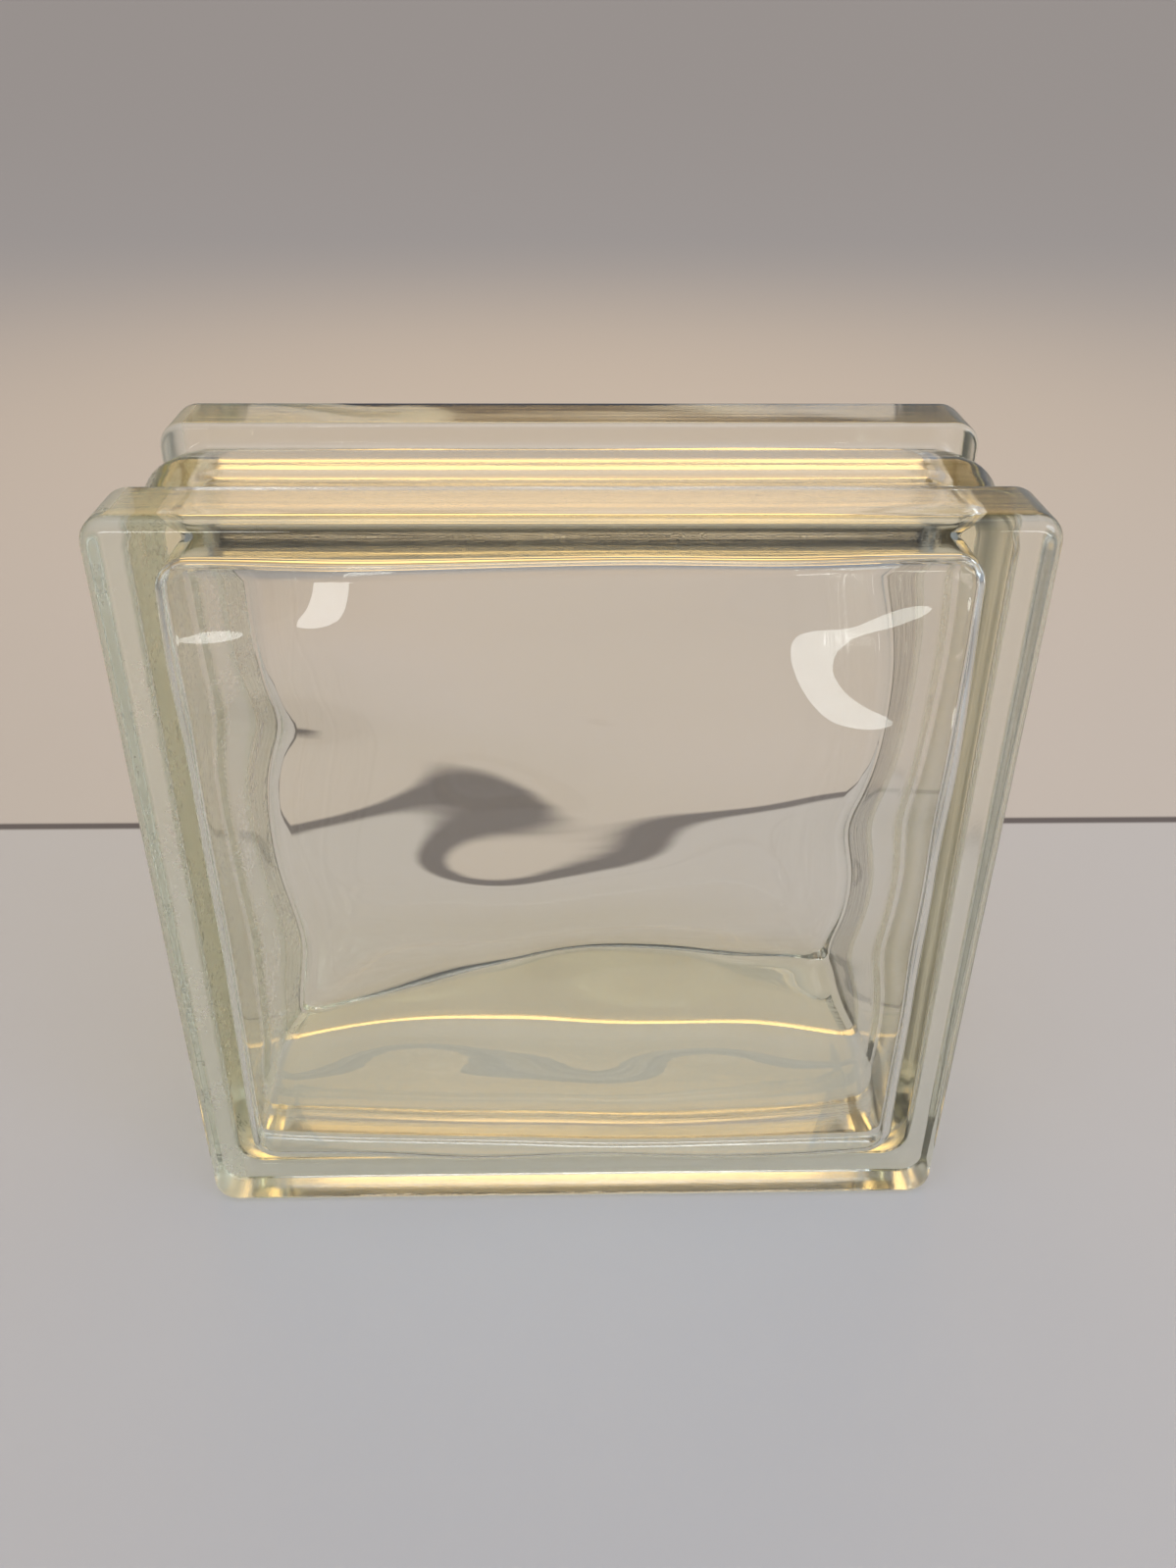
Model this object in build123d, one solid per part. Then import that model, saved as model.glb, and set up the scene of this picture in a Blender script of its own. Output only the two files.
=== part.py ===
from build123d import *
import os
from math import cos, pi, radians, sin

# Overall size: the block stands on its rims, with its faces to -Y and +Y
block_width = 190.0
block_height = 190.0
block_depth = 80.0

# Flanges, the thick rims round the two faces
flange_depth = 19.0
flange_corner_radius = 6.0
face_edge_round = 3.0
flange_back_bevel = 1.2

# Body between the flanges: it swells from the flanges towards the fused seam
channel_depth = 5.8
channel_root_bevel = 1.5
seam_channel_depth = 1.5
body_corner_radius = 10.0
seam_bead_width = 7.0
seam_bead_rise = 0.5

# Sealed air space between the panes, with a bead of glass that the seam leaves round its walls
pane_thickness = 9.0
cavity_margin = 11.0
cavity_corner_radius = 7.0
cavity_rim_round = 6.5
inner_bead_width = 7.0
inner_bead_rise = 1.0

# Waves pressed into the inner side of each pane: height, length, direction and shift of each swell
swell_height = (1.7, 1.1, 0.2, 0.2, 0.25, 0.35, 1.05, 1.35)
swell_length = (77.3, 89.2, 33.5, 46.6, 46.7, 43.4, 76.2, 99.5)
swell_direction = (80.0, 115.0, 90.0, 121.0, 174.0, 83.0, 3.0, 78.5)
swell_shift = (156.5, 112.0, 153.0, 84.0, 356.0, 59.0, 238.0, 347.0)
wave_sample_pitch = 8.0
wave_overrun = 4.0
wave_tolerance = 0.02
wave_degree = 4

half_depth = block_depth / 2
half_gap = half_depth - flange_depth
seam_half_width = block_width / 2 - seam_channel_depth
seam_half_height = block_height / 2 - seam_channel_depth
cavity_half_depth = half_depth - pane_thickness
cavity_width = block_width - 2 * cavity_margin
cavity_height = block_height - 2 * cavity_margin


def carried_round(profile, half_x, half_y):
    """A profile of (radius, depth) carried round a rectangle of corner axes at half_x and half_y."""
    upright = Plane.XZ * profile
    ring = Part()
    for quarter in range(4):
        across, along = (half_x, half_y) if quarter % 2 == 0 else (half_y, half_x)
        corner_axis = Pos(across, along, 0)
        side = corner_axis * extrude(upright, amount=2 * along)
        corner = corner_axis * revolve(upright, axis=Axis.Z, revolution_arc=90)
        ring += Rot(0, 0, 90 * quarter) * (side + corner)
    return ring


def flange():
    """The rim and pane of one face, lying with the face upwards."""
    outline = RectangleRounded(block_width, block_height, flange_corner_radius)
    slab = Pos(0, 0, half_gap) * extrude(outline, amount=flange_depth)
    slab = fillet(slab.edges().group_by(Axis.Z)[-1], face_edge_round)
    return chamfer(slab.edges().group_by(Axis.Z)[0], flange_back_bevel)


def body():
    """The pillow-shaped body between the flanges, with bevelled roots and the bead of the seam."""
    bead_half = seam_bead_width / 2
    crest = body_corner_radius - seam_bead_rise
    foot = body_corner_radius - (channel_depth - seam_channel_depth)
    root_start = half_gap - channel_root_bevel
    root_end = foot + channel_root_bevel
    swell = ThreePointArc((foot, -root_start), (crest, 0), (foot, root_start))
    swell_back = Polyline(
        swell @ 1, (root_end, half_gap), (0, half_gap), (0, -half_gap), (root_end, -half_gap), swell @ 0
    )
    bead = ThreePointArc((crest, -bead_half), (body_corner_radius, 0), (crest, bead_half))
    bead_back = Polyline(bead @ 1, (0, bead_half), (0, -bead_half), bead @ 0)
    profile = make_face((swell + swell_back).edges()) + make_face((bead + bead_back).edges())
    half_x = seam_half_width - body_corner_radius
    half_y = seam_half_height - body_corner_radius
    core = Box(2 * half_x, 2 * half_y, 2 * half_gap)
    return core + carried_round(profile, half_x, half_y)


def wave(x, y):
    """Height of the pressed waves above the middle of the pane's inner side."""
    total = 0
    for height, length, direction, shift in zip(swell_height, swell_length, swell_direction, swell_shift):
        along = x * cos(radians(direction)) + y * sin(radians(direction))
        total += height * sin(2 * pi * along / length + radians(shift))
    return total


def spread(length):
    """Evenly spaced places over a length, centred on zero."""
    steps = round(length / wave_sample_pitch)
    return [length * (step / steps - 0.5) for step in range(steps + 1)]


def half_cavity():
    """The air space of one half: a box with a round rim, cut by the wavy inner side of the pane."""
    inner_side = [
        [(x, y, cavity_half_depth + wave(x, y)) for y in spread(cavity_height + 2 * wave_overrun)]
        for x in spread(cavity_width + 2 * wave_overrun)
    ]
    highest = max(z for row in inner_side for x, y, z in row)
    mouth = RectangleRounded(cavity_width, cavity_height, cavity_corner_radius)
    box = extrude(mouth, amount=highest)
    box = fillet(box.edges().group_by(Axis.Z)[-1], cavity_rim_round)
    roof = Face.make_surface_from_array_of_points(
        inner_side, tol=wave_tolerance, min_deg=wave_degree, max_deg=wave_degree
    )
    return box & extrude(roof, amount=block_depth, dir=(0, 0, -1))


def cavity():
    """Both halves of the air space, less the bead of glass that the fused seam leaves inside."""
    half = half_cavity()
    both = half + Rot(0, 180, 0) * half
    wall = cavity_corner_radius
    bead_half = inner_bead_width / 2
    crown = ThreePointArc((wall, -bead_half), (wall - inner_bead_rise, 0), (wall, bead_half))
    root = wall + inner_bead_rise
    back = Polyline(crown @ 1, (root, bead_half), (root, -bead_half), crown @ 0)
    bead = make_face((crown + back).edges())
    return both - carried_round(bead, cavity_width / 2 - wall, cavity_height / 2 - wall)


def glass_block():
    """The two pressed halves fused into one hollow piece, lying with its front face upwards."""
    front = flange()
    back = Rot(0, 180, 0) * front
    return body() + front + back - cavity()


standing = Pos(0, 0, block_height / 2) * Rot(90, 0, 0) * glass_block()
os.makedirs("parts", exist_ok=True)
export_step(standing, "parts/glass_block.step")
print(len(standing.solids()), "solid,", len(standing.faces()), "faces,", round(standing.volume), "cubic mm")
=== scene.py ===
"""Looks of a pressed hollow glass block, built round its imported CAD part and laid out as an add-on."""

from math import copysign, cos, pi, radians, sin

import bmesh
import bpy
from bpy.props import FloatProperty, FloatVectorProperty, PointerProperty
from mathutils import Euler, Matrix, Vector


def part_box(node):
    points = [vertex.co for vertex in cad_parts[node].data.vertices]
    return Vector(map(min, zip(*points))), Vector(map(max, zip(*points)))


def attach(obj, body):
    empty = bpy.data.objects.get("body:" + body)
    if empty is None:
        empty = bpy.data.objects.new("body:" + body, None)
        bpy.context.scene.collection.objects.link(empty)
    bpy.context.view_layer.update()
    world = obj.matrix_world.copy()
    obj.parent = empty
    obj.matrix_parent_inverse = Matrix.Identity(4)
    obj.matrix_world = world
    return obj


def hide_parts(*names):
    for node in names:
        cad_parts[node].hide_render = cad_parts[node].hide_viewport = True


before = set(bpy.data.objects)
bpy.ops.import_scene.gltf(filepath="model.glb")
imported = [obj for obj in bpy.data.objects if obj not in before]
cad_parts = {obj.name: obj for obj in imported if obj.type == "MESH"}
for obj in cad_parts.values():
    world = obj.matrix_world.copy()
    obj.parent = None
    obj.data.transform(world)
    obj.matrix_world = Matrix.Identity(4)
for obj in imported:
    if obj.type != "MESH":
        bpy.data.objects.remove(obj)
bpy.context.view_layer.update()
block_low, block_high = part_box("glass_block")

bl_info = {
    "name": "Pressed glass block",
    "version": (1, 0, 0),
    "blender": (4, 5, 0),
    "location": "3D View > Sidebar > Glass block",
    "description": "A hollow block of two pressed halves with wavy panes, and a plain studio for it",
    "category": "Object",
}

MM = 0.001
DEGREE = pi / 180
BLOCK_SIZE = block_high - block_low
BLOCK_MIDDLE = (block_high + block_low) / 2

# The swells that add up to the waves of a pane, in millimetres and degrees
SWELL_HEIGHTS = (1.7, 1.1, 0.2, 0.2, 0.25, 0.35, 1.05, 1.35)
SWELL_LENGTHS = (77.3, 89.2, 33.5, 46.6, 46.7, 43.4, 76.2, 99.5)
SWELL_DIRECTIONS = (80, 115, 90, 121, 174, 83, 3, 78.5)
SWELL_SHIFTS = (156.5, 112, 153, 84, 356, 59, 238, 347)

# Fineness of the mesh
CORNER_SEGMENTS = 10
ROUND_STEPS = 6
SMALL_ROUND_STEPS = 4
SWELL_STEPS = 10
OUTER_BEAD_STEPS = 4
INNER_BEAD_STEPS = 8
SAME_PLACE = 1e-6

# Rings that support the shape: on the inner walls, beside the beads and inside the round of the faces
WALL_SHARES = (0.6, 0.4, 0.25)
INNER_BEAD_SUPPORT = 0.4 * MM
OUTER_BEAD_CLEARANCE = 1.2
FACE_MARGIN = 0.25

# Corner radius of the unit shell, which is two units wide before it takes the block's sizes
UNIT_ROUND = 0.5

# Where the rough outside fades in beyond the inner walls, fades out at the round of the faces, and takes
# on the film of the left and right sides
RIM_FADE = (1.5 * MM, 3 * MM)
FACE_FADE = (-1.5 * MM, 0.5 * MM)
SIDE_FADE = (3 * MM, 6 * MM)

# Noise levels between which a worn patch and a clear fleck begin, and how far the streaks run
PATCH_EDGE = (0.42, 0.6)
FLECK_EDGE = (0.5, 0.58)
STREAK_STRETCH = (30, 1, 30)

# The floor, in metres, with the half widths of the fine dark line of painted shadow where its two tones
# meet
MATT = 0.9
FLOOR_GLOSS = 0.1
FLOOR_REACH = 40
FLOOR_DROP = 0.2 * MM
SEAM_CORE = 1 * MM
SEAM_SHADOW_EDGE = 3 * MM

# How the tones of the room blend over the directions from its middle
SIDE_BLEND = (-0.9, 0.9)
DEPTH_BLEND = (-0.5, 0.5)
RISE_BLEND = (0.1, 0.8)

# Soft lamps, in metres and watts; the two low cards only show as reflections in the glass
LAMPS = (
    dict(
        name="overhead", place=(0, -0.45, 1.3), target=(0, 0, 0), width=1.0, height=1.0,
        power=3.0, tone=(0.96, 0.98, 1.0),
    ),
    dict(
        name="warm_back", place=(0, 0.75, 0.78), target=(0, 0, 0.1), width=1.3, height=0.85,
        power=3.8, tone=(1.0, 0.66, 0.26),
    ),
    dict(
        name="cool_side", place=(1.0, -0.75, 0.6), target=(0, 0, 0.1), width=0.6, height=0.6,
        power=4.0, tone=(0.72, 0.86, 1.0),
    ),
    dict(
        name="card_left", place=(-0.55, -1.44, 0.095), target=(0, 0, 0.095), width=0.42, height=0.18,
        power=1.3, tone=(0.95, 0.98, 1.0), lights_floor=False,
    ),
    dict(
        name="card_right", place=(0.51, -0.85, 0.08), target=(0, 0, 0.08), width=0.3, height=0.12,
        power=0.6, tone=(0.9, 0.96, 1.0), lights_floor=False,
    ),
)
SENSOR_HEIGHT = 36
NEAREST_VIEW = 10 * MM
LIGHT_BOUNCES = 24


def length(name, description, millimetres):
    """A size, kept in metres and shown as a distance."""
    return FloatProperty(
        name=name, description=description, default=millimetres * MM, min=0,
        unit="LENGTH", subtype="DISTANCE",
    )


def angle(name, description, degrees):
    """An angle, kept in radians and shown in degrees."""
    return FloatProperty(
        name=name, description=description, default=radians(degrees), unit="ROTATION", subtype="ANGLE"
    )


def share(name, description, value):
    """An amount from 0 to 1."""
    return FloatProperty(name=name, description=description, default=value, min=0, max=1, subtype="FACTOR")


def colour(name, description, value):
    """A colour in linear light."""
    return FloatVectorProperty(
        name=name, description=description, default=value, min=0, max=1, subtype="COLOR"
    )


def swells(name, description, unit, scale, values):
    """One value for each swell of the pressed waves, given in millimetres or degrees."""
    scaled = [value * scale for value in values]
    return FloatVectorProperty(
        name=name, description=description, default=scaled, size=len(scaled), unit=unit
    )


class BlockSizes(bpy.types.PropertyGroup):
    """Sizes of the block that the frame's box doesn't give."""

    flange_depth: length("Flange depth", "Depth of the rim round each face", 19)
    flange_corner: length("Flange corner", "Corner radius of the rim's outline", 6)
    face_round: length("Face edge round", "Rounding of the edge of each face", 3)
    back_round: length("Flange back round", "Rounding of the edge behind each rim", 1.4)
    channel_depth: length("Channel depth", "Depth of the channel where the body leaves the rim", 5.8)
    seam_channel: length("Seam channel", "Depth of the channel at the fused seam", 1.5)
    body_corner: length("Body corner", "Corner radius of the body at the seam", 10)
    channel_root: length("Channel root", "Rounding of the corner between the body and the rim", 1.8)
    seam_bead_width: length("Seam bead width", "Width of the bead of the seam outside", 7)
    seam_bead_rise: length("Seam bead rise", "Rise of the bead of the seam outside", 0.5)
    pane: length("Pane", "Middle thickness of each pane", 9)
    cavity_margin: length("Cavity margin", "Glass between the rim's side and the air space", 11)
    cavity_corner: length("Cavity corner", "Corner radius of the air space", 7)
    cavity_rim: length("Cavity rim", "Rounding between the inner walls and the panes", 3.5)
    inner_bead_width: length("Inner bead width", "Width of the bead of the seam inside", 7)
    inner_bead_rise: length("Inner bead rise", "Rise of the bead of the seam inside", 1)
    grid_pitch: length("Wave grid", "Distance between the mesh lines on the wavy inner sides", 2)
    swell_height: swells("Swell heights", "Height of each swell", "LENGTH", MM, SWELL_HEIGHTS)
    swell_length: swells("Swell lengths", "Length of each swell", "LENGTH", MM, SWELL_LENGTHS)
    swell_direction: swells("Swell turns", "Direction of each swell", "ROTATION", DEGREE, SWELL_DIRECTIONS)
    swell_shift: swells("Swell shifts", "Phase of each swell", "ROTATION", DEGREE, SWELL_SHIFTS)


class GlassFinish(bpy.types.PropertyGroup):
    """Tint and surface of the glass."""

    tint: colour("Tint", "What a thick piece lets through", (0.86, 0.83, 0.2))
    tint_density: FloatProperty(name="Tint density", description="Strength of the tint", default=4.5, min=0)
    ior: FloatProperty(name="Index", description="Refractive index of the glass", default=1.52, min=1)
    shadow_tint: colour("Shadow tint", "Lamp light that each surface lets through", (0.88, 0.88, 0.84))
    film: colour("Mortar film", "Colour of the thin film that mortar left on the rims", (0.6, 0.58, 0.5))
    thin_film: share("Thin film", "Film all over the rims and the channel", 0.015)
    left_film: share("Left film", "Film on the left side", 0.32)
    right_film: share("Right film", "Film on the right side", 0.1)
    film_wear: share("Film wear", "How much of the film is gone in a clear fleck", 0.85)
    patch_size: length("Patch size", "Size of the patches in which the film is worn", 16)
    fleck_size: length("Fleck size", "Size of the clear flecks in a worn patch", 1.6)
    bare_roughness: share("Bare roughness", "Roughness of the rims and the channel", 0.05)
    left_roughness: share("Left roughness", "Roughness that the film adds on the left side", 0.3)
    right_roughness: share("Right roughness", "Roughness that the film adds on the right side", 0.1)
    grain_size: length("Grain size", "Size of the grain on the rims and the channel", 0.5)
    streak_width: length("Streak width", "Width of the streaks that run round the block", 1.6)
    grain_relief: share("Grain relief", "Share of the grain in the relief", 0.3)
    film_relief: share("Film relief", "Share of the film in the relief", 0.4)
    streak_relief: share("Streak relief", "Share of the streaks in the relief", 0.7)
    relief_strength: share("Relief strength", "How strongly the relief bends the light", 0.35)
    relief_depth: length("Relief depth", "Depth of the whole relief", 0.25)


class Studio(bpy.types.PropertyGroup):
    """Floor, room and camera."""

    floor_colour: colour("Floor", "Colour of the floor", (0.54, 0.55, 0.59))
    back_colour: colour("Floor behind", "Colour of the floor behind the block", (0.57, 0.55, 0.55))
    # The seam colour paints a thin dark line of shadow where the floor's two tones meet
    seam_shadow_colour: colour("Floor seam", "Colour of the line where the floor's tones meet", (0.15, 0.14, 0.15))
    seam_place: length("Seam place", "How far back the two tones of the floor meet", 141)
    room_left: colour("Room on the left", "Dim side of the room", (0.14, 0.14, 0.16))
    room_right: colour("Room on the right", "Bright side of the room", (0.28, 0.32, 0.4))
    room_front: colour("Room in front", "Soft cool light above the near side", (0.8, 0.86, 0.96))
    room_back: colour("Room behind", "Soft warm light above the far side", (0.5, 0.34, 0.15))
    camera_place: FloatVectorProperty(
        name="Camera", description="Place of the camera", default=(-0.00296, -0.27409, 0.27691),
        subtype="TRANSLATION", unit="LENGTH",
    )
    camera_pitch: angle("Pitch", "How far the camera looks down", 31.985)
    camera_yaw: angle("Yaw", "How far the camera looks aside", -1.41)
    camera_roll: angle("Roll", "Tilt of the camera", 0.432)
    camera_lens: FloatProperty(
        name="Lens", description="Focal length for a 36 mm long side", default=29.685, min=1, unit="CAMERA"
    )


class Value:
    """A socket that can stand in Python arithmetic: each operation adds its Math node."""

    def __init__(self, shade, socket):
        self.shade = shade
        self.socket = socket

    def maths(self, operation, *terms):
        values = dict(enumerate(terms))
        return self.shade.node("ShaderNodeMath", {"operation": operation}, values)["Value"]

    def __add__(self, other):
        return self.maths("ADD", self, other)

    def __radd__(self, other):
        return self.maths("ADD", other, self)

    def __sub__(self, other):
        return self.maths("SUBTRACT", self, other)

    def __rsub__(self, other):
        return self.maths("SUBTRACT", other, self)

    def __mul__(self, other):
        return self.maths("MULTIPLY", self, other)

    def __rmul__(self, other):
        return self.maths("MULTIPLY", other, self)

    def __abs__(self):
        return self.maths("ABSOLUTE", self)

    def maximum(self, other):
        return self.maths("MAXIMUM", self, other)

    def between(self, low, high):
        """Smooth step from 0 at low to 1 at high."""
        return self.shade.node(
            "ShaderNodeMapRange", {"interpolation_type": "SMOOTHSTEP"},
            {"Value": self, "From Min": low, "From Max": high},
        )["Result"]


class Outputs:
    """The outputs of one node, by name."""

    def __init__(self, shade, node):
        self.shade = shade
        self.made = node

    def __getitem__(self, name):
        return Value(self.shade, self.made.outputs[name])


class Shade:
    """Adds nodes to one node tree."""

    def __init__(self, tree):
        self.tree = tree
        tree.nodes.clear()

    def node(self, kind, settings=None, sockets=None):
        """One node: its type, its settings, and the values or links of its sockets."""
        made = self.tree.nodes.new(kind)
        for name, value in (settings or {}).items():
            setattr(made, name, value)
        for name, value in (sockets or {}).items():
            if isinstance(value, Value):
                self.tree.links.new(value.socket, made.inputs[name])
            else:
                made.inputs[name].default_value = value
        return Outputs(self, made)

    def mix(self, factor, first, second):
        """A colour between two colours, or links to colours, by a factor from 0 to 1."""
        first, second = [tone if isinstance(tone, Value) else (*tone, 1) for tone in (first, second)]
        sockets = {"Factor": factor, "A": first, "B": second}
        return self.node("ShaderNodeMix", {"data_type": "RGBA"}, sockets)["Result"]

    def noise(self, place, size, detail, roughness, stretch=(1, 1, 1)):
        """Cloudy noise from 0 to 1 with features of a given size in metres, stretched along the axes."""
        shrink = [1 / times for times in stretch]
        scaled = self.node("ShaderNodeMapping", sockets={"Vector": place, "Scale": shrink})["Vector"]
        return self.node(
            "ShaderNodeTexNoise",
            sockets={"Vector": scaled, "Scale": 1 / size, "Detail": detail, "Roughness": roughness},
        )["Fac"]


def arc(centre, radius, start, stop, steps):
    """Points of an arc in a (depth, radius) section, from one angle in degrees to another."""
    turns = [radians(start + (stop - start) * step / steps) for step in range(steps + 1)]
    return [(centre[0] + radius * cos(turn), centre[1] + radius * sin(turn)) for turn in turns]


def bow(half_width, base, rise, steps):
    """Points of a low round bead or swell from its edge to its middle, as (depth, radius)."""
    places = [step / steps - 1 for step in range(steps + 1)]
    return [(half_width * place, base + rise * (1 - place * place)) for place in places]


def outer_section(sizes):
    """The outside of the front half from its face to the seam: (depth, corner axis inset, radius)."""
    half_depth = BLOCK_SIZE.y / 2
    half_gap = half_depth - sizes.flange_depth
    rim = sizes.flange_corner
    face_round = sizes.face_round
    back_round = sizes.back_round
    face = arc((face_round - half_depth, rim - face_round), face_round, 180, 90, ROUND_STEPS)
    back = arc((-half_gap - back_round, rim - back_round), back_round, 90, 0, SMALL_ROUND_STEPS)
    corner = sizes.body_corner
    crest = corner - sizes.seam_bead_rise
    foot = corner - (sizes.channel_depth - sizes.seam_channel)
    root_round = sizes.channel_root
    root = arc((root_round - half_gap, foot + root_round), root_round, 180, 270, SMALL_ROUND_STEPS)
    swell = bow(half_gap - root_round, foot, crest - foot, SWELL_STEPS)
    bead = bow(sizes.seam_bead_width / 2, crest, sizes.seam_bead_rise, OUTER_BEAD_STEPS)
    swell_end = bead[0][0] * OUTER_BEAD_CLEARANCE
    swell = [(depth, radius) for depth, radius in swell[1:] if depth < swell_end]
    inset = sizes.seam_channel + corner
    flange = [(depth, rim, radius) for depth, radius in face + back]
    body = [(depth, inset, radius) for depth, radius in root + swell + bead]
    return flange + body


def inner_section(sizes):
    """The air space of the front half from its roof to the seam: (depth, corner axis inset, radius)."""
    reach = BLOCK_SIZE.y / 2 - sizes.pane
    corner = sizes.cavity_corner
    rim = sizes.cavity_rim
    roof = arc((rim - reach, corner - rim), rim, 180, 90, ROUND_STEPS)
    bead = bow(sizes.inner_bead_width / 2, corner, -sizes.inner_bead_rise, INNER_BEAD_STEPS)
    wall_depths = [-reach * part for part in WALL_SHARES] + [bead[0][0] - INNER_BEAD_SUPPORT]
    walls = [(depth, corner) for depth in wall_depths]
    inset = sizes.cavity_margin + corner
    return [(depth, inset, radius) for depth, radius in roof + walls + bead]


def slice_shell(shell, place, normal):
    """Adds the edges where a plane crosses a shell."""
    everything = shell.verts[:] + shell.edges[:] + shell.faces[:]
    bmesh.ops.bisect_plane(shell, geom=everything, dist=SAME_PLACE, plane_co=place, plane_no=normal)


def lofted_shell(half_section):
    """A closed shell of rounded rectangles, one at each place of the section and of its mirror image."""
    back = [(-depth, inset, radius) for depth, inset, radius in half_section[-2::-1]]
    rings = half_section + back
    last = len(rings) - 1
    shell = bmesh.new()
    bmesh.ops.create_cube(shell, size=2)
    corners = [edge for edge in shell.edges if abs(edge.verts[0].co.y - edge.verts[1].co.y) > 1]
    bmesh.ops.bevel(
        shell, geom=corners, offset=UNIT_ROUND, offset_type="OFFSET", segments=CORNER_SEGMENTS, profile=0.5,
        affect="EDGES", material=-1,
    )
    for cut in range(1, last):
        slice_shell(shell, (0, 2 * cut / last - 1, 0), (0, 1, 0))
    for vert in shell.verts:
        depth, inset, radius = rings[round((vert.co.y + 1) / 2 * last)]
        side = Vector((copysign(1, vert.co.x), copysign(1, vert.co.z)))
        outwards = (vert.co.xz - side * (1 - UNIT_ROUND)).normalized()
        x = side.x * (BLOCK_SIZE.x / 2 - inset) + radius * outwards.x
        z = side.y * (BLOCK_SIZE.z / 2 - inset) + radius * outwards.y
        vert.co = BLOCK_MIDDLE + Vector((x, depth, z))
    return shell


def cut_grid(shell, pitch):
    """Cuts a shell by upright and level planes, so that its flat ends can take the waves."""
    for axis in (0, 2):
        places = [vert.co[axis] for vert in shell.verts]
        low, high = min(places), max(places)
        steps = round((high - low) / pitch)
        normal = Vector((axis == 0, 0, axis == 2))
        for step in range(1, steps):
            place = BLOCK_MIDDLE.copy()
            place[axis] = low + (high - low) * step / steps
            slice_shell(shell, place, normal)


def wave(sizes, x, z):
    """Height of the pressed waves at a place on the pane's inner side."""
    total = 0
    for height, span, direction, shift in zip(
        sizes.swell_height, sizes.swell_length, sizes.swell_direction, sizes.swell_shift
    ):
        along = x * cos(direction) + z * sin(direction)
        total += height * sin(2 * pi * along / span + shift)
    return total


def press_waves(shell, sizes):
    """Moves the inner sides of both panes by the waves, the back half turned about the upright axis."""
    reach = BLOCK_SIZE.y / 2 - sizes.pane
    still = sizes.inner_bead_width
    full = reach - sizes.cavity_rim
    for vert in shell.verts:
        place = vert.co - BLOCK_MIDDLE
        side = 1 if place.y > 0 else -1
        pull = min(1, max(0, (abs(place.y) - still) / (full - still)))
        vert.co.y += side * pull * wave(sizes, -side * place.x, place.z)


def clear_glass(finish, sizes):
    """Clear glass: polished faces, and grained rims and channel that still carry a film of mortar."""
    material = bpy.data.materials.new("clear_glass")
    material.use_nodes = True
    shade = Shade(material.node_tree)
    place = shade.node("ShaderNodeTexCoord")["Object"]
    axes = shade.node("ShaderNodeSeparateXYZ", sockets={"Vector": place})
    wall = BLOCK_SIZE.x / 2 - sizes.cavity_margin
    face_edge = BLOCK_SIZE.y / 2 - sizes.face_round
    outwards = abs(axes["X"]).maximum(abs(axes["Z"] - BLOCK_MIDDLE.z))
    on_face = (abs(axes["Y"]) - face_edge).between(*FACE_FADE)
    outside = (outwards - wall).between(*RIM_FADE) * (1 - on_face)
    left = (-1 * axes["X"] - wall).between(*SIDE_FADE)
    right = (axes["X"] - wall).between(*SIDE_FADE)
    patches = shade.noise(place, finish.patch_size, detail=3, roughness=0.55).between(*PATCH_EDGE)
    flecks = shade.noise(place, finish.fleck_size, detail=4, roughness=0.65).between(*FLECK_EDGE)
    grain = shade.noise(place, finish.grain_size, detail=2, roughness=0.5)
    streaks = shade.noise(place, finish.streak_width, detail=4, roughness=0.6, stretch=STREAK_STRETCH)
    left_cover = left * (1 - finish.film_wear * patches * flecks)
    film = outside * (finish.thin_film + finish.left_film * left_cover + finish.right_film * right)
    roughness = outside * (
        finish.bare_roughness + finish.left_roughness * left_cover + finish.right_roughness * right
    )
    relief = outside * (
        finish.grain_relief * grain + finish.film_relief * left_cover + finish.streak_relief * streaks
    )
    bump = shade.node(
        "ShaderNodeBump",
        sockets={"Strength": finish.relief_strength, "Distance": finish.relief_depth, "Height": relief},
    )["Normal"]
    glass = shade.node(
        "ShaderNodeBsdfPrincipled",
        sockets={
            "Base Color": (1, 1, 1, 1), "Roughness": roughness, "Normal": bump,
            "IOR": finish.ior, "Transmission Weight": 1,
        },
    )
    haze = shade.node(
        "ShaderNodeBsdfPrincipled",
        sockets={"Base Color": (*finish.film, 1), "Roughness": MATT, "Normal": bump},
    )
    surface = shade.node("ShaderNodeMixShader", sockets={0: film, 1: glass["BSDF"], 2: haze["BSDF"]})
    lamp_side = shade.node("ShaderNodeBsdfTransparent", sockets={"Color": (*finish.shadow_tint, 1)})
    shadow_ray = shade.node("ShaderNodeLightPath")["Is Shadow Ray"]
    seen = shade.node(
        "ShaderNodeMixShader", sockets={0: shadow_ray, 1: surface["Shader"], 2: lamp_side["BSDF"]}
    )
    tint = shade.node(
        "ShaderNodeVolumeAbsorption", sockets={"Color": (*finish.tint, 1), "Density": finish.tint_density}
    )
    shade.node("ShaderNodeOutputMaterial", sockets={"Surface": seen["Shader"], "Volume": tint["Volume"]})
    return material


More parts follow.
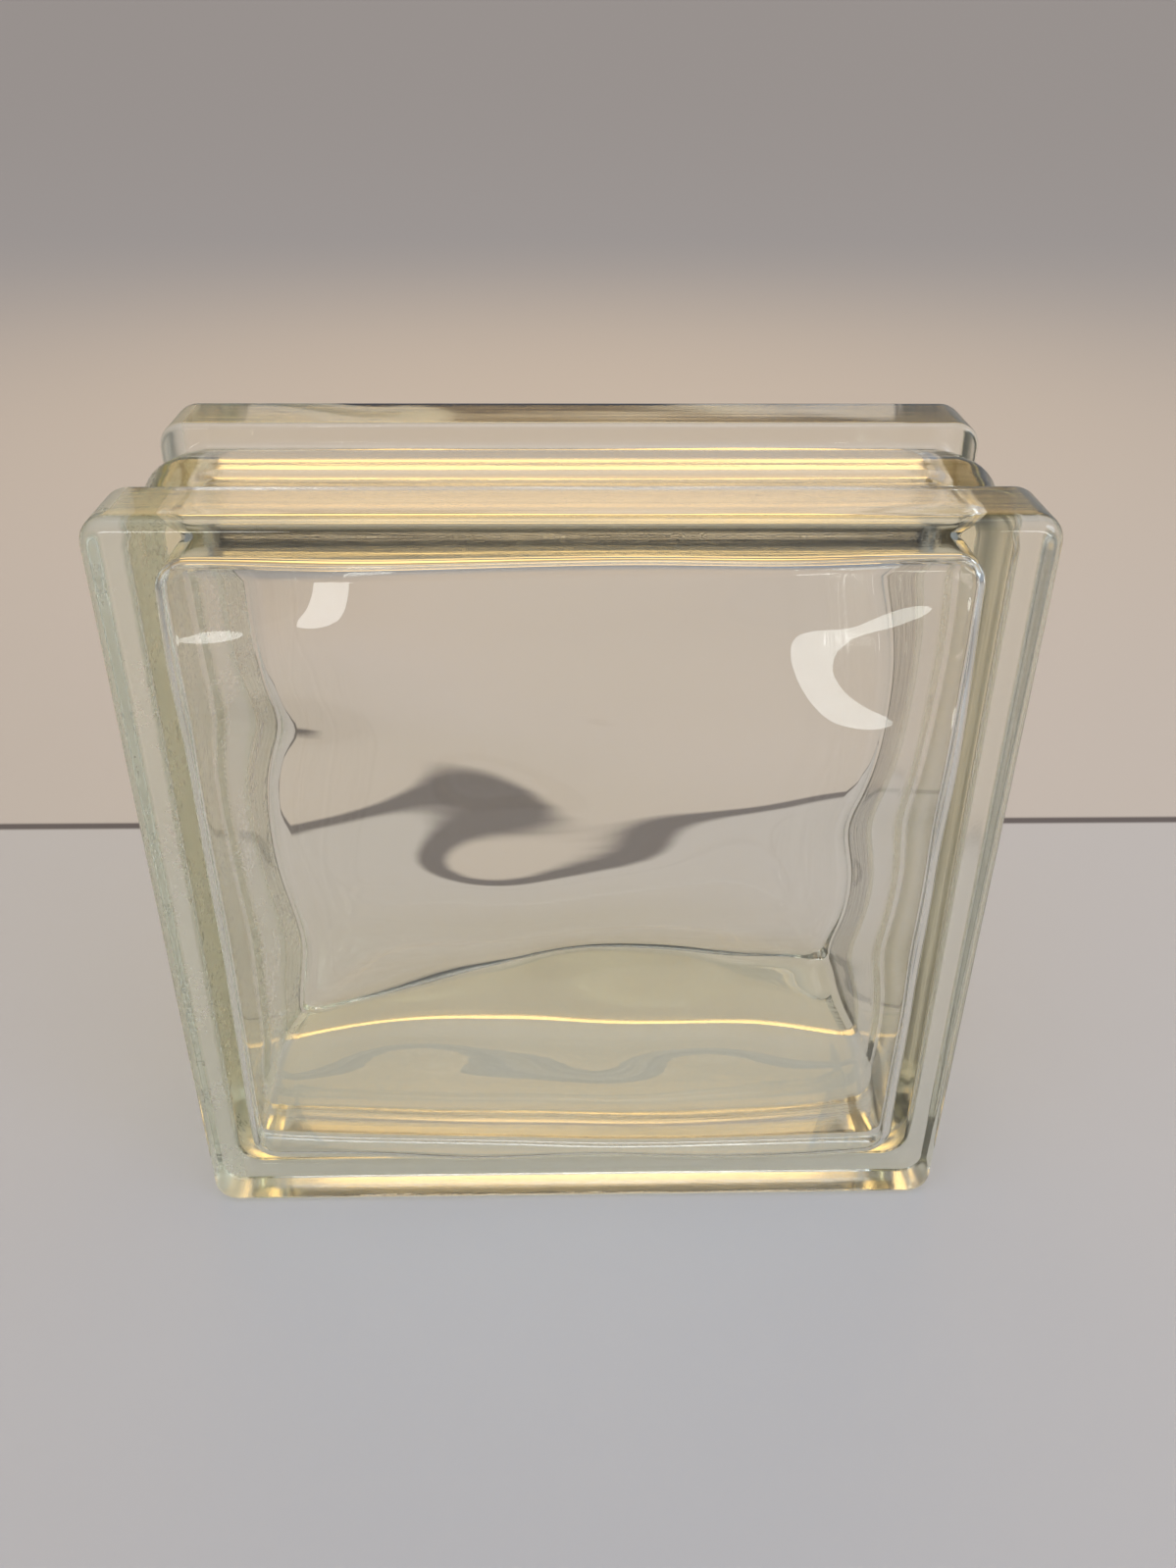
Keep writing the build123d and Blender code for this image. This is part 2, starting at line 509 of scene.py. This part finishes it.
class GLASSBLOCK_OT_block(bpy.types.Operator):
    """Build the hollow glass block with its wavy panes"""

    bl_idname = "glassblock.block"
    bl_label = "Glass block"

    def execute(self, context):
        sizes = context.scene.block_sizes
        outside = lofted_shell(outer_section(sizes))
        bmesh.ops.recalc_face_normals(outside, faces=outside.faces)
        ends = [face for face in outside.faces if len(face.verts) > 4]
        bmesh.ops.inset_region(outside, faces=ends, thickness=sizes.face_round * FACE_MARGIN)
        inside = lofted_shell(inner_section(sizes))
        cut_grid(inside, sizes.grid_pitch)
        press_waves(inside, sizes)
        bmesh.ops.recalc_face_normals(inside, faces=inside.faces)
        bmesh.ops.reverse_faces(inside, faces=inside.faces)
        mesh = bpy.data.meshes.new("pressed_block")
        inside.to_mesh(mesh)
        outside.from_mesh(mesh)
        outside.to_mesh(mesh)
        inside.free()
        outside.free()
        mesh.shade_smooth()
        mesh.materials.append(clear_glass(context.scene.glass_finish, sizes))
        block = bpy.data.objects.new("pressed_block", mesh)
        context.collection.objects.link(block)
        block.modifiers.new("Flat faces stay flat", "WEIGHTED_NORMAL")
        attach(block, "root")
        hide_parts("glass_block")
        return {"FINISHED"}


def matt_floor(studio):
    """A matt finish in two close tones that meet in one fine dark line of painted shadow."""
    material = bpy.data.materials.new("matt_floor")
    material.use_nodes = True
    shade = Shade(material.node_tree)
    place = shade.node("ShaderNodeTexCoord")["Object"]
    past_seam = shade.node("ShaderNodeSeparateXYZ", sockets={"Vector": place})["Y"] - studio.seam_place
    tone = shade.mix(past_seam.between(-SEAM_CORE, SEAM_CORE), studio.floor_colour, studio.back_colour)
    # Painted shadow: a fine dark line laid over the place where the two tones meet
    tone = shade.mix(1 - abs(past_seam).between(SEAM_CORE, SEAM_SHADOW_EDGE), tone, studio.seam_shadow_colour)
    surface = shade.node(
        "ShaderNodeBsdfPrincipled",
        sockets={"Base Color": tone, "Roughness": MATT, "Specular IOR Level": FLOOR_GLOSS},
    )
    shade.node("ShaderNodeOutputMaterial", sockets={"Surface": surface["BSDF"]})
    return material


def lay_floor(context, studio):
    """A wide plain floor just under the block."""
    ground = bmesh.new()
    bmesh.ops.create_grid(ground, x_segments=1, y_segments=1, size=FLOOR_REACH)
    bmesh.ops.translate(ground, verts=ground.verts, vec=(0, 0, -FLOOR_DROP))
    mesh = bpy.data.meshes.new("floor")
    ground.to_mesh(mesh)
    ground.free()
    mesh.materials.append(matt_floor(studio))
    floor = bpy.data.objects.new("floor", mesh)
    context.collection.objects.link(floor)


def light_room(context, studio):
    """A dim room with soft light from above, cool on the near side and warm on the far side."""
    world = bpy.data.worlds.new("room")
    world.use_nodes = True
    shade = Shade(world.node_tree)
    towards = shade.node("ShaderNodeTexCoord")["Generated"]
    axes = shade.node("ShaderNodeSeparateXYZ", sockets={"Vector": towards})
    around = shade.mix(axes["X"].between(*SIDE_BLEND), studio.room_left, studio.room_right)
    above = shade.mix(axes["Y"].between(*DEPTH_BLEND), studio.room_front, studio.room_back)
    tone = shade.mix(axes["Z"].between(*RISE_BLEND), around, above)
    glow = shade.node("ShaderNodeBackground", sockets={"Color": tone, "Strength": 1})
    shade.node("ShaderNodeOutputWorld", sockets={"Surface": glow["Background"]})
    context.scene.world = world


def hang_lamp(context, name, place, target, width, height, power, tone, lights_floor=True):
    """A soft oval lamp that points at a target."""
    lamp = bpy.data.lights.new(name, "AREA")
    lamp.shape = "ELLIPSE"
    lamp.size = width
    lamp.size_y = height
    lamp.energy = power
    lamp.color = tone
    holder = bpy.data.objects.new(name, lamp)
    holder.location = place
    holder.rotation_euler = (Vector(target) - Vector(place)).to_track_quat("-Z", "Y").to_euler()
    holder.visible_camera = False
    holder.visible_diffuse = lights_floor
    context.collection.objects.link(holder)


def place_camera(context, studio):
    """The camera, looking down at the block from the front."""
    camera = bpy.data.objects.new("camera", bpy.data.cameras.new("camera"))
    camera.data.sensor_fit = "VERTICAL"
    camera.data.sensor_height = SENSOR_HEIGHT
    camera.data.lens = studio.camera_lens
    camera.data.clip_start = NEAREST_VIEW
    camera.location = studio.camera_place
    turn = Euler((pi / 2 - studio.camera_pitch, 0, studio.camera_yaw)).to_matrix()
    roll = Euler((0, 0, studio.camera_roll)).to_matrix()
    camera.rotation_euler = (turn @ roll).to_euler()
    context.collection.objects.link(camera)
    context.scene.camera = camera


class GLASSBLOCK_OT_stage(bpy.types.Operator):
    """Set up the floor, the room, the soft lamps and the camera"""

    bl_idname = "glassblock.stage"
    bl_label = "Stage"

    def execute(self, context):
        scene = context.scene
        lay_floor(context, scene.studio)
        light_room(context, scene.studio)
        for lamp in LAMPS:
            hang_lamp(context, **lamp)
        place_camera(context, scene.studio)
        scene.view_settings.view_transform = "Standard"
        scene.cycles.max_bounces = LIGHT_BOUNCES
        scene.cycles.transmission_bounces = LIGHT_BOUNCES
        return {"FINISHED"}


class GLASSBLOCK_PT_panel(bpy.types.Panel):
    """Sizes, finish and studio of the glass block"""

    bl_idname = "GLASSBLOCK_PT_panel"
    bl_label = "Glass block"
    bl_space_type = "VIEW_3D"
    bl_region_type = "UI"
    bl_category = "Glass block"

    def draw(self, context):
        for name, group in GROUPS.items():
            column = self.layout.column()
            for key in group.__annotations__:
                column.prop(getattr(context.scene, name), key)
        self.layout.operator(GLASSBLOCK_OT_block.bl_idname)
        self.layout.operator(GLASSBLOCK_OT_stage.bl_idname)


GROUPS = {"block_sizes": BlockSizes, "glass_finish": GlassFinish, "studio": Studio}
CLASSES = (*GROUPS.values(), GLASSBLOCK_OT_block, GLASSBLOCK_OT_stage, GLASSBLOCK_PT_panel)


def register():
    for kind in CLASSES:
        bpy.utils.register_class(kind)
    for name, group in GROUPS.items():
        setattr(bpy.types.Scene, name, PointerProperty(type=group))


def unregister():
    for name in GROUPS:
        delattr(bpy.types.Scene, name)
    for kind in reversed(CLASSES):
        bpy.utils.unregister_class(kind)


def main():
    """Builds the block and its stage."""
    register()
    bpy.ops.glassblock.block()
    bpy.ops.glassblock.stage()


if __name__ == "__main__":
    main()
